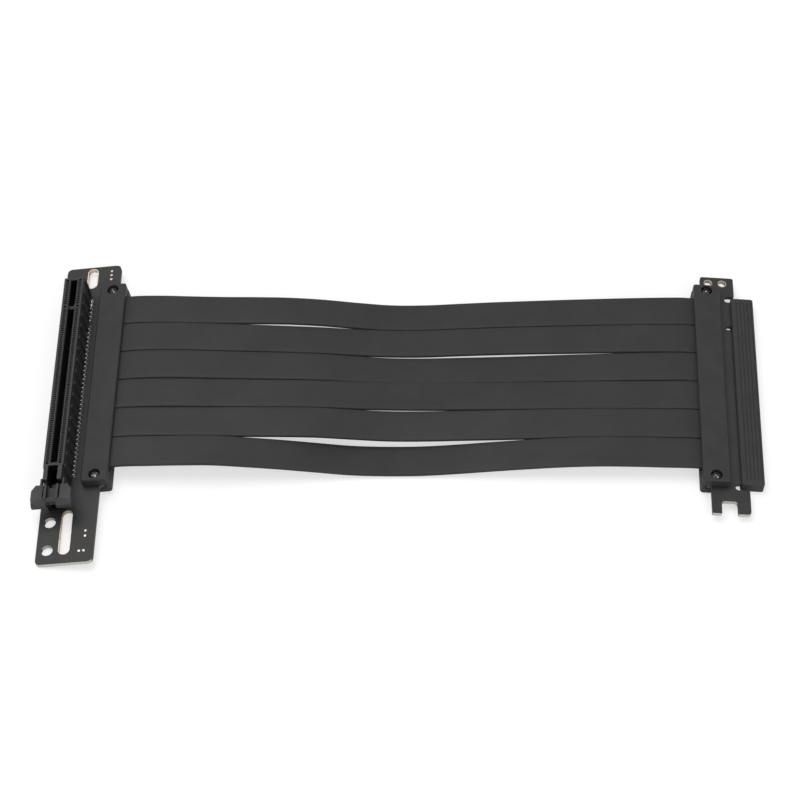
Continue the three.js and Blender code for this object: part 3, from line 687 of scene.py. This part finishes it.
@dataclass
class RibbonCable:
    """The six flat ribbons between the two clamps."""

    width: float = 13.1
    pitch: float = 13.3
    thickness: float = 1.5
    edge: float = 0.55
    edge_segments: int = 4
    steps: int = 170
    across: int = 6
    start_middle: float = 11.35
    end_middle: float = 15.8
    stations: tuple[float, ...] = (
        -107.5, -101.6, -92, -81, -69, -57, -44, -31, -18, -5, 8, 21, 34, 47, 60, 73, 86, 97, 105.7, 111.5,
    )
    ribbons: list[Ribbon] = field(
        default_factory=lambda: [
            Ribbon(number, heights, lean)
            for number, (heights, lean) in enumerate(zip(RIBBON_HEIGHTS, RIBBON_LEANS), start=1)
        ]
    )

    def middle(self, ribbon: Ribbon, x: float) -> float:
        """Find a ribbon's middle line.

        Args:
            ribbon: the ribbon.
            x: the place along the cable, in millimetres.

        Returns:
            The line's y there, in millimetres.
        """
        share = (x - self.stations[1]) / (self.stations[-2] - self.stations[1])
        share = min(1.0, max(0.0, share))
        share = share * share * (3 - 2 * share)
        offset = (2.5 - (ribbon.number - 1)) * self.pitch
        return self.start_middle + (self.end_middle - self.start_middle) * share + offset

    def route(self, ribbon: Ribbon) -> list[Vector]:
        """The ribbon's middle line: a smooth curve through its stations.

        Args:
            ribbon: the ribbon.

        Returns:
            The points from the card slot's clamp to the plug's clamp, in millimetres.
        """
        points = [Vector((x, self.middle(ribbon, x), z)) for x, z in zip(self.stations, ribbon.heights)]
        points = [2 * points[0] - points[1], *points, 2 * points[-1] - points[-2]]
        spans = len(points) - 3
        line = []
        for step in range(self.steps + 1):
            place = step / self.steps * spans
            index = min(int(place), spans - 1)
            line.append(self._between(points[index : index + 4], place - index))
        return line

    @staticmethod
    def _between(four: Sequence[Vector], share: float) -> Vector:
        """Find a point between the middle two of four points, on the centripetal curve through them.

        Args:
            four: the points.
            share: 0 for the second point, 1 for the third.

        Returns:
            The point.
        """
        knots = [0.0]
        for first, second in zip(four, four[1:]):
            knots.append(knots[-1] + (second - first).length ** 0.5)
        place = knots[1] + (knots[2] - knots[1]) * share

        def blend(low: int, high: int, first: Vector, second: Vector) -> Vector:
            """The point between two others, by the place between two knots."""
            return first + (second - first) * ((place - knots[low]) / (knots[high] - knots[low]))

        near, middle, far = (blend(i, i + 1, four[i], four[i + 1]) for i in range(3))
        return blend(1, 2, blend(0, 2, near, middle), blend(1, 3, middle, far))

    def build(self, material: Material) -> None:
        """Build and dress every ribbon.

        Args:
            material: the jacket's material.
        """
        for ribbon in self.ribbons:
            self._build_one(ribbon, material)

    def _build_one(self, ribbon: Ribbon, material: Material) -> None:
        """Build one ribbon from a flat strip laid along its route.

        Args:
            ribbon: the ribbon.
            material: the jacket's material.
        """
        line = self.route(ribbon)
        first, last = line[0].x, line[-1].x
        shape = bmesh.new()
        bmesh.ops.create_grid(shape, x_segments=self.steps, y_segments=self.across, size=0.5)
        shape.verts.ensure_lookup_table()
        for vert in shape.verts:
            step = round((vert.co.x + 0.5) * self.steps)
            across = vert.co.y
            point = line[step]
            lean = ribbon.lean * math.sin(math.pi * (point.x - first) / (last - first)) ** 2
            vert.co = (point.x, point.y + across * self.width, point.z - lean * across)
        bmesh.ops.recalc_face_normals(shape, faces=shape.faces)
        bmesh.ops.translate(shape, verts=shape.verts, vec=(0, 0, self.thickness / 2))
        bmesh.ops.solidify(shape, geom=shape.faces[:], thickness=self.thickness)
        half = self.width / 2
        sides = [
            edge
            for edge in shape.edges
            if len(edge.link_faces) == 2
            and edge.calc_face_angle(0.0) > 1.0
            and abs(abs(edge.verts[0].co.y - self.middle(ribbon, edge.verts[0].co.x)) - half) < 0.2
            and abs(edge.verts[0].co.x - edge.verts[1].co.x) > 0.05
        ]
        bmesh.ops.bevel(
            shape, geom=sides, offset=self.edge, segments=self.edge_segments, profile=0.5,
            affect="EDGES", material=-1,
        )
        name = f"flat_ribbon_{ribbon.number}"
        node = f"ribbon_{ribbon.number}"
        piece = finish_piece(shape, name, WORLD, [material], replaces=[node])


@dataclass
class CardSlot:
    """The card slot's metal: soldered joints along both sides."""

    contacts: int = 82
    before_key: int = 11
    key_step: float = 3.0
    joint_out: float = 4.25
    joint_size: Point = (0.45, 0.42, 0.36)
    joint_lift: float = 0.05
    small_out: float = 4.85
    small_size: Point = (0.16, 0.14, 0.12)
    streak_place: float = 39.6
    streak_size: Point = (0.3, 1.7, 0.3)
    streak_lift: float = 0.1

    def places(self) -> list[float]:
        """The contacts' places along the slot, far end first."""
        span = self.contacts - 2 + self.key_step
        key = self.key_step - 1
        return [
            span / 2 - index - (key if index >= self.before_key else 0)
            for index in range(self.contacts)
        ]

    def build_joints(self, solder: Material) -> None:
        """Build the rows of soldered joints on the board beside the slot.

        Args:
            solder: the solder's material.
        """
        shape = bmesh.new()
        for index, place in enumerate(self.places()):
            tall = index % 2 == 0
            size = self.joint_size if tall else self.small_size
            out = self.joint_out if tall else self.small_out
            for side in (-1, 1):
                matrix = Matrix.Translation((side * out, place, self.joint_lift))
                matrix @= Matrix.Diagonal((*size, 1.0))
                bmesh.ops.create_uvsphere(shape, u_segments=8, v_segments=6, radius=1.0, matrix=matrix)
        streak = Matrix.Translation((self.joint_out, self.streak_place, self.streak_lift))
        streak @= Matrix.Diagonal((*self.streak_size, 1.0))
        bmesh.ops.create_uvsphere(shape, u_segments=12, v_segments=8, radius=1.0, matrix=streak)
        finish_piece(shape, "slot_solder_joints", SOCKET_END, [solder])


@dataclass(frozen=True)
class PlatedHole:
    """A round-ended hole with a plated rim: its middle line, its two ends, its width and the rim's width."""

    x: float
    near: float
    far: float
    width: float
    rim: float


@dataclass
class BoardPlating:
    """Gold plated rims round the boards' screw holes, and round test pads."""

    rise: float = 0.035
    skin: float = 0.03
    board: float = 1.6
    pad_radius: float = 0.5
    pad_taper: float = 0.94
    contact_start: float = 11.4
    contact_end: float = 17.2
    contact_width: float = 0.7
    socket_holes: tuple[PlatedHole, ...] = (
        PlatedHole(3.7, 47.5, 56.5, 3.6, 0.34),
        PlatedHole(3.7, -75.6, -56.6, 4.1, 0.1),
    )
    plug_holes: tuple[PlatedHole, ...] = (
        PlatedHole(3.0, 50.1, 52.9, 2.8, 0.22),
        PlatedHole(8.4, 50.1, 52.9, 2.8, 0.22),
    )
    socket_pads: tuple[tuple[float, float], ...] = (
        (11.0, 55.0), (11.0, 53.0), (11.0, 51.0), (11.1, -66.0), (11.1, -68.2), (9.4, -74.6), (11.1, -74.6),
    )

    def _rim(self, shape: BMesh, hole: PlatedHole) -> None:
        """Add one plated rim: a flat ring above and below, and the wall through the board.

        Args:
            shape: what the rim is added to.
            hole: the hole.
        """
        half = hole.width / 2
        inner = half - self.skin
        outer = half + hole.rim
        below = -self.board - self.rise
        steps = [
            (outer, self.rise), (inner, self.rise), (inner, below), (outer, below),
            (outer, -self.board + 0.02),
        ]
        edges = long_loop(shape, hole.x, hole.near - hole.rim, hole.far + hole.rim, 2 * outer, -0.02)
        for radius, height in steps:
            made = bmesh.ops.extrude_edge_only(shape, edges=edges)["geom"]
            edges = [part for part in made if isinstance(part, BMEdge)]
            for vert in (part for part in made if isinstance(part, BMVert)):
                spine = Vector((hole.x, min(max(vert.co.y, hole.near + half), hole.far - half), 0.0))
                out = Vector((vert.co.x, vert.co.y, 0.0)) - spine
                vert.co = spine + out.normalized() * radius + Vector((0.0, 0.0, height))

    def _pad(self, shape: BMesh, x: float, y: float) -> None:
        """Add one round test pad, a low disc.

        Args:
            shape: what the pad is added to.
            x: its place on the board.
            y: its place along the board.
        """
        place = Matrix.Translation((x, y, 0.0))
        bmesh.ops.create_cone(
            shape, cap_ends=True, segments=20, radius1=self.pad_radius,
            radius2=self.pad_radius * self.pad_taper, depth=2 * self.rise, matrix=place,
        )

    def build_boards(self, gold: Material) -> None:
        """Build the rims and pads of both boards.

        Args:
            gold: the plating's material.
        """
        for prefix, placement, holes, pads in (
            ("socket", SOCKET_END, self.socket_holes, self.socket_pads),
            ("plug", PLUG_END, self.plug_holes, ()),
        ):
            shape = bmesh.new()
            for hole in holes:
                self._rim(shape, hole)
            for x, y in pads:
                self._pad(shape, x, y)
            finish_piece(shape, f"{prefix}_board_plating", placement, [gold])

    def build_tongue(self, gold: Material, places: Sequence[float]) -> None:
        """Build the contacts on both faces of the plug's tongue.

        Args:
            gold: the plating's material.
            places: the contacts' places along the tongue.
        """
        shape = bmesh.new()
        length = self.contact_end - self.contact_start
        size = Matrix.Diagonal((length, self.contact_width, self.board + 2 * self.rise, 1.0))
        for place in places:
            middle = Matrix.Translation((self.contact_start + length / 2, place, -self.board / 2))
            bmesh.ops.create_cube(shape, size=1.0, matrix=middle @ size)
        finish_piece(shape, "tongue_contacts", PLUG_END, [gold])


def drawn_solid(outline: Sequence[tuple[float, float]], axis: str, low: float, high: float) -> BMesh:
    """A solid with a drawn outline, extruded along one axis.

    Args:
        outline: the corners, in the plane of the other two axes.
        axis: the axis to extrude along, "x" for an outline in (y, z) or "z" for one in (x, y).
        low: where the extrusion starts.
        high: where it ends.

    Returns:
        The solid.
    """
    shape = bmesh.new()
    verts = [shape.verts.new((low, a, b) if axis == "x" else (a, b, low)) for a, b in outline]
    face = shape.faces.new(verts)
    made = bmesh.ops.extrude_face_region(shape, geom=[face])["geom"]
    step = (high - low, 0, 0) if axis == "x" else (0, 0, high - low)
    bmesh.ops.translate(shape, verts=[part for part in made if isinstance(part, BMVert)], vec=step)
    bmesh.ops.recalc_face_normals(shape, faces=shape.faces)
    return shape


def drawn_block(x0: float, x1: float, y0: float, y1: float, z0: float, z1: float) -> BMesh:
    """A block between two corners."""
    return drawn_solid([(x0, y0), (x1, y0), (x1, y1), (x0, y1)], "z", z0, z1)


def united(shapes: Sequence[BMesh]) -> BMesh:
    """One solid from several that overlap.

    Args:
        shapes: the solids, which are freed here.

    Returns:
        The joined solid.
    """
    workpieces = []
    for shape in shapes:
        mesh = bpy.data.meshes.new("workpiece")
        shape.to_mesh(mesh)
        shape.free()
        workpiece = bpy.data.objects.new("workpiece", mesh)
        bpy.context.scene.collection.objects.link(workpiece)
        workpieces.append(workpiece)
    whole = workpieces[0]
    for workpiece in workpieces[1:]:
        joint = whole.modifiers.new("joint", "BOOLEAN")
        joint.operation = "UNION"
        joint.solver = "EXACT"
        joint.object = workpiece
    bpy.context.view_layer.update()
    joined = bpy.data.meshes.new_from_object(whole.evaluated_get(bpy.context.evaluated_depsgraph_get()))
    result = bmesh.new()
    result.from_mesh(joined)
    for workpiece in workpieces:
        bpy.data.objects.remove(workpiece, do_unlink=True)
    bpy.data.meshes.remove(joined)
    return result


def soften(piece: Object, width: float) -> None:
    """Round a piece's edges with a bevel modifier.

    Args:
        piece: the piece.
        width: the bevel's width in millimetres.
    """
    bevel = piece.modifiers.new("soften", "BEVEL")
    bevel.width = width * MM
    bevel.segments = 2
    bevel.limit_method = "ANGLE"
    bevel.angle_limit = math.radians(35)


@dataclass
class RetentionLatch:
    """The latch at the near end of the card slot: winged thumb tab, railed channel, stem and nose."""

    pivot: float = -52.8
    pivot_height: float = 3.4
    boss_radius: float = 1.05
    boss_half: float = 3.1
    stem_half: float = 1.4
    start: float = -52.0
    end: float = -60.4
    half: float = 7.4
    floor: float = 8.2
    top: float = 10.6
    chamfer: float = 1.5
    chamfer_run: float = 2.3
    slope_run: float = 2.4
    slope_drop: float = 1.5
    opening_half: float = 3.16
    opening_run: float = 5.9
    rail_half: float = 2.66
    rail_inner: float = 1.75
    rail_top: float = 10.95
    channel_floor: float = 8.4
    channel_under: float = 7.4
    arch_half: float = 1.9
    arch_run: float = 1.3
    arm_inner: float = 3.75
    arm_outer: float = 4.4
    arm_run: float = 3.0
    arm_root: float = 1.0
    arm_under: float = 0.3
    arm_drop: float = 0.2
    overlap: float = 0.4
    rail_step: float = 0.1
    nose_tip: float = -48.6
    nose_drop: float = 1.2
    foot: float = 1.5
    stem_back: float = 1.7
    stem_front: float = 2.9
    stem_top: float = 0.5
    round_over: float = 0.22

    def _wings(self) -> BMesh:
        """The thumb tab's two wings round the channel's opening, sloped down at the near edge."""
        bend = self.end + self.slope_run
        near = [
            (-self.half, self.end), (-self.arch_half, self.end), (-self.arch_half, self.end + self.arch_run),
            (self.arch_half, self.end + self.arch_run), (self.arch_half, self.end), (self.half, self.end),
        ]
        right = [(self.half, self.start - self.chamfer_run), (self.half - self.chamfer, self.start)]
        opening = [
            (self.opening_half, self.start), (self.opening_half, self.start - self.opening_run),
            (-self.opening_half, self.start - self.opening_run), (-self.opening_half, self.start),
        ]
        left = [(-x, y) for x, y in reversed(right)]
        shape = drawn_solid([*near, *right, *opening, *left], "z", self.floor, self.top)
        bmesh.ops.bisect_plane(
            shape, geom=[*shape.verts, *shape.edges, *shape.faces], plane_co=(0, bend, 0), plane_no=(0, 1, 0)
        )
        for vert in shape.verts:
            past = max(0.0, bend - vert.co.y) / self.slope_run
            vert.co.z -= past * (self.slope_drop if vert.co.z > self.top - 0.1 else self.slope_drop / 2)
        return shape

    def _channel(self) -> list[BMesh]:
        """The channel between the wings: its floor and two rails."""
        near = self.start - self.opening_run - self.overlap
        half, inner = self.rail_half, self.rail_inner
        rail_foot = self.channel_under + self.rail_step
        return [
            drawn_block(-half, half, near, self.start, self.channel_under, self.channel_floor),
            drawn_block(-half, -inner, near, self.start, rail_foot, self.rail_top),
            drawn_block(inner, half, near, self.start, rail_foot, self.rail_top),
        ]

    def _stem(self) -> BMesh:
        """The stem that turns between the cheeks, with the nose that holds the card."""
        back = self.pivot + self.stem_back
        front = self.pivot - self.stem_front
        under = self.channel_under
        nose = under - self.nose_drop
        profile = [
            (back - 0.8, self.foot), (back, self.foot + 0.8), (back, nose - 1.8),
            (self.nose_tip - 0.3, nose - 1.4), (self.nose_tip, nose - 1.1), (self.nose_tip, nose - 0.4),
            (self.nose_tip - 0.5, nose),
            (back, nose), (self.start + 0.2, under + self.stem_top), (front, under + self.stem_top),
            (front, self.foot + 2.0),
            (self.pivot, self.foot),
        ]
        return drawn_solid(profile, "x", -self.stem_half, self.stem_half)

    def _bosses(self) -> BMesh:
        """The round bosses that the latch turns on."""
        shape = bmesh.new()
        turn = Matrix.Translation((0, self.pivot, self.pivot_height)) @ Matrix.Rotation(math.pi / 2, 4, "Y")
        bmesh.ops.create_cone(
            shape, cap_ends=True, segments=28, radius1=self.boss_radius, radius2=self.boss_radius,
            depth=2 * self.boss_half, matrix=turn,
        )
        return shape

    def build(self, material: Material) -> None:
        """Build the latch as one moulding on its own body.

        Args:
            material: the latch's material.
        """
        near, far = self.start - self.arm_root, self.start + self.arm_run
        under, over = self.floor + self.arm_under, self.top - self.arm_drop
        arms = [
            drawn_block(low, high, near, far, under, over)
            for low, high in ((-self.arm_outer, -self.arm_inner), (self.arm_inner, self.arm_outer))
        ]
        shape = united([self._wings(), *self._channel(), self._stem(), self._bosses(), *arms])
        piece = finish_piece(
            shape, "retention_latch", SOCKET_END, [material], Body.LATCH,
            replaces=["slot_latch"],
        )
        soften(piece, self.round_over)


@dataclass
class ClampTrays:
    """The clamps' lower covers: a flat base with a lip on the cable's side."""

    half: float = 46.0
    reach: float = 10.2
    lip_start: float = 8.5
    bottom: float = -4.1
    top: float = -1.9
    corner: float = 1.1
    round_over: float = 0.3
    overlap: float = 0.2
    corner_steps: int = 5

    def build(self, material: Material) -> None:
        """Build both lower covers.

        Args:
            material: the covers' material.
        """
        for prefix, placement in (("socket", SOCKET_CLAMP), ("plug", PLUG_CLAMP)):
            inner = self.lip_start + self.overlap
            base = drawn_block(0.0, inner, -self.half, self.half, self.bottom, self.top)
            lip = drawn_block(self.lip_start, self.reach, -self.half, self.half, self.bottom, 0.0)
            shape = united([base, lip])
            corners = [edge for edge in shape.edges if self._at_corner(edge)]
            bmesh.ops.bevel(
                shape, geom=corners, offset=self.corner, segments=self.corner_steps, profile=0.5,
                affect="EDGES", material=-1,
            )
            piece = finish_piece(
                shape, f"{prefix}_clamp_tray", placement, [material],
                replaces=[f"{prefix}_bottom_cover"],
            )
            soften(piece, self.round_over)

    def _at_corner(self, edge: BMEdge) -> bool:
        """Find out whether an edge stands upright at one of the outline's four corners.

        Args:
            edge: the edge.

        Returns:
            True if it does.
        """
        first, second = (vert.co for vert in edge.verts)
        upright = (first.xy - second.xy).length < 0.01
        outer = min(abs(first.x), abs(first.x - self.reach)) < 0.01
        return upright and outer and abs(abs(first.y) - self.half) < 0.01


@dataclass
class ClampScrews:
    """The four cross-head screws that close the clamps."""

    inset: float = 5.0
    half_spacing: float = 43.1
    seat: float = 2.0
    tip: float = -3.4
    head: float = 1.85
    head_height: float = 1.25
    shank: float = 1.1
    steps: int = 40
    cross_length: float = 2.3
    cross_width: float = 0.5
    cross_depth: float = 0.75
    cross_turn: float = 28.0

    def _lathe(self) -> BMesh:
        """The screw's turned body about its own axis."""
        top = self.seat + self.head_height
        profile = [
            (0.0, self.tip),
            (self.shank * 0.6, self.tip),
            (self.shank, self.tip + 0.9),
            (self.shank, self.seat),
            (self.head - 0.1, self.seat),
            (self.head, self.seat + 0.1),
            (self.head, self.seat + self.head_height * 0.55),
            (self.head * 0.95, self.seat + self.head_height * 0.8),
            (self.head * 0.8, self.seat + self.head_height * 0.96),
            (self.head * 0.6, top),
            (0.0, top),
        ]
        shape = bmesh.new()
        verts = [shape.verts.new((radius, 0.0, height)) for radius, height in profile]
        edges = [shape.edges.new(pair) for pair in zip(verts, verts[1:])]
        bmesh.ops.spin(
            shape, geom=verts + edges, cent=(0, 0, 0), axis=(0, 0, 1), angle=2 * math.pi,
            steps=self.steps, use_merge=True,
        )
        bmesh.ops.remove_doubles(shape, verts=shape.verts, dist=1e-4)
        return shape

    def build(self, materials: Sequence[Material]) -> None:
        """Build all four screws.

        Args:
            materials: the oxide and the worn metal of the cross.
        """
        for prefix, placement, far in (("socket", SOCKET_CLAMP, 1), ("plug", PLUG_CLAMP, -1)):
            for end, side in (("far", far), ("near", -far)):
                shape = self._lathe()
                bmesh.ops.translate(shape, verts=shape.verts, vec=(self.inset, side * self.half_spacing, 0))
                node = f"{prefix}_screw_{end}"
                piece = finish_piece(
                    shape, f"{prefix}_cross_screw_{end}", placement, materials, replaces=[node]
                )
                self._cut_cross(piece, placement, side)

    def _cut_cross(self, piece: Object, placement: Placement, side: int) -> None:
        """Cut the cross into a screw's head.

        Args:
            piece: the screw.
            placement: the clamp's frame.
            side: 1 or -1, for the screw's end of the clamp.
        """
        top = self.seat + self.head_height
        shape = bmesh.new()
        for length, width in ((self.cross_length, self.cross_width), (self.cross_width, self.cross_length)):
            size = Matrix.Diagonal((length, width, 2 * self.cross_depth, 1.0))
            turn = Matrix.Rotation(math.radians(self.cross_turn), 4, "Z")
            place = Matrix.Translation((self.inset, side * self.half_spacing, top))
            bmesh.ops.create_cube(shape, size=1.0, matrix=place @ turn @ size)
        for face in shape.faces:
            face.material_index = 1
        bmesh.ops.transform(shape, matrix=placement.matrix(), verts=shape.verts)
        mesh = bpy.data.meshes.new("cross_cutter")
        shape.to_mesh(mesh)
        shape.free()
        for material in piece.data.materials:
            mesh.materials.append(material)
        cutter = bpy.data.objects.new("cross_cutter", mesh)
        bpy.context.scene.collection.objects.link(cutter)
        cut = piece.modifiers.new("cross", "BOOLEAN")
        cut.operation = "DIFFERENCE"
        cut.solver = "EXACT"
        cut.use_self = True
        cut.object = cutter
        bpy.context.view_layer.update()
        carved = bpy.data.meshes.new_from_object(piece.evaluated_get(bpy.context.evaluated_depsgraph_get()))
        piece.modifiers.clear()
        piece.data = carved
        bpy.data.objects.remove(cutter, do_unlink=True)


@dataclass(frozen=True)
class Lamp:
    """One soft studio lamp: its place, size and power."""

    name: str
    place: Point
    size: float
    power: float


@dataclass
class Studio:
    """Camera, floor, sky and lamps."""

    target: Point = (-0.00083, 0.00942, 0.0)
    place: Point = (0.01214, -0.64215, 0.8646)
    lens: float = 130.2
    sensor: float = 36.0
    floor_size: float = 6.0
    floor_glow: float = 0.6
    sky: float = 0.62
    lamps: tuple[Lamp, ...] = (
        Lamp("overhead_softbox", (-0.35, 0.25, 1.3), 1.1, 11.0),
        Lamp("front_softbox", (0.45, -1.1, 0.9), 0.9, 7.0),
    )

    def set_camera(self) -> None:
        """Place the camera that sees the object as the photographed one is seen."""
        data = bpy.data.cameras.new("studio_camera")
        data.lens = self.lens
        data.sensor_width = self.sensor
        data.clip_end = 20.0
        camera = bpy.data.objects.new("studio_camera", data)
        bpy.context.scene.collection.objects.link(camera)
        place = Vector(self.place)
        camera.location = place
        camera.rotation_euler = (Vector(self.target) - place).to_track_quat("-Z", "Y").to_euler()
        bpy.context.scene.camera = camera

    def light(self) -> None:
        """Set the sky, the lamps and the floor."""
        self._sky()
        for lamp in self.lamps:
            data = bpy.data.lights.new(lamp.name, "AREA")
            data.shape = "DISK"
            data.size = lamp.size
            data.energy = lamp.power
            made = bpy.data.objects.new(lamp.name, data)
            bpy.context.scene.collection.objects.link(made)
            made.location = lamp.place
            made.rotation_euler = (-Vector(lamp.place)).to_track_quat("-Z", "Y").to_euler()
        self._floor()
        bpy.context.scene.view_settings.view_transform = "Standard"

    def _sky(self) -> None:
        """A plain grey sky for light, which the camera sees as white."""
        world = bpy.data.worlds.new("studio_sky")
        bpy.context.scene.world = world
        world.use_nodes = True
        graph = Graph(world.node_tree)
        output = graph.add("ShaderNodeOutputWorld")
        sky = graph.add("ShaderNodeBackground", {"Color": (1, 1, 1, 1)})
        path = graph.add("ShaderNodeLightPath")
        seen = graph.maths("MAXIMUM", path.outputs["Is Camera Ray"], path.outputs["Is Transmission Ray"])
        graph.join(graph.span(seen, self.sky, 1.0), sky.inputs["Strength"])
        graph.join(sky.outputs[0], output.inputs[0])

    def _floor(self) -> None:
        """A pale floor that the camera sees nearly white, with the object's soft shadow kept."""
        shape = bmesh.new()
        bmesh.ops.create_grid(shape, x_segments=1, y_segments=1, size=self.floor_size / 2)
        mesh = bpy.data.meshes.new("studio_floor")
        shape.to_mesh(mesh)
        shape.free()
        floor = bpy.data.objects.new("studio_floor", mesh)
        bpy.context.scene.collection.objects.link(floor)
        material = bpy.data.materials.new("studio_paper")
        material.use_nodes = True
        graph = Graph(material.node_tree)
        output = graph.add("ShaderNodeOutputMaterial")
        paper = graph.add("ShaderNodeBsdfDiffuse", {"Color": (0.9, 0.9, 0.9, 1.0)})
        white = graph.add("ShaderNodeEmission", {"Color": (1, 1, 1, 1), "Strength": 1.0})
        path = graph.add("ShaderNodeLightPath")
        both = graph.add("ShaderNodeMixShader")
        share = graph.maths("MULTIPLY", path.outputs["Is Camera Ray"], self.floor_glow)
        graph.join(share, both.inputs[0])
        graph.join(paper.outputs[0], both.inputs[1])
        graph.join(white.outputs[0], both.inputs[2])
        graph.join(both.outputs[0], output.inputs[0])
        mesh.materials.append(material)


def dress_solids(palette: Palette) -> None:
    """Give every carried-over solid its material.

    Args:
        palette: the object's materials.
    """
    dress_nodes(palette.socket_board, "socket_board")
    dress_nodes(palette.plug_board, "plug_board")
    dress_nodes(palette.slot, "slot_housing")
    dress_nodes(palette.cap, "plug_dust_cap")
    for prefix in ("socket", "plug"):
        dress_nodes(palette.cover, f"{prefix}_top_cover")
        dress_nodes(palette.wire, *(f"{prefix}_wire_ends_{number}" for number in range(1, 7)))


def main() -> None:
    """Build the whole picture in order."""
    logging.basicConfig(level=logging.INFO, format="%(name)s: %(message)s")
    studio = Studio()
    studio.set_camera()
    palette = Palette()
    RibbonCable().build(palette.jacket)
    dress_solids(palette)
    slot = CardSlot()
    slot.build_joints(palette.solder)
    RetentionLatch().build(palette.latch)
    ClampTrays().build(palette.cover)
    plating = BoardPlating()
    plating.build_boards(palette.gold)
    plating.build_tongue(palette.gold, slot.places())
    ClampScrews().build([palette.screw, palette.screw_worn])
    studio.light()


if __name__ == "__main__":
    main()
